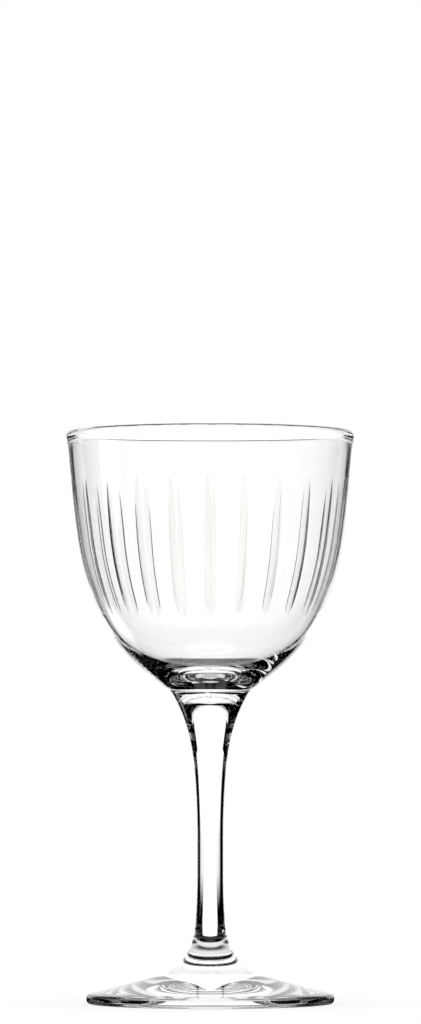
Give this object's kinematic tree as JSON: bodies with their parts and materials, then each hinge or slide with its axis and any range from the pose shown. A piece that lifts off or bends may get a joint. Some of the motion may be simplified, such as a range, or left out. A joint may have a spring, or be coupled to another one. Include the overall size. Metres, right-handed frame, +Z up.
{
  "type": "nick and nora glass",
  "caption": "Small stemmed cocktail glass: a deep tulip bowl with a ring of shallow cut flutes, a slim drawn stem and a spread round foot.",
  "frame": {"origin": "centre of the ring under the foot, on the surface that the glass stands on", "axes": "+Z up along the axis of bowl, stem and foot; -Y towards the viewer of the picture, where a flute faces the viewer"},
  "size_m": [0.0736, 0.0736, 0.145],
  "materials": {
    "bowl_glass": "fire-polished clear glass with polished cut flutes",
    "stem_glass": "fire-polished clear glass",
    "foot_glass": "fire-polished clear glass"
  },
  "bodies": {
    "root": {"bowl": "bowl_glass", "stem": "stem_glass", "foot": "foot_glass"}
  },
  "joints": []
}
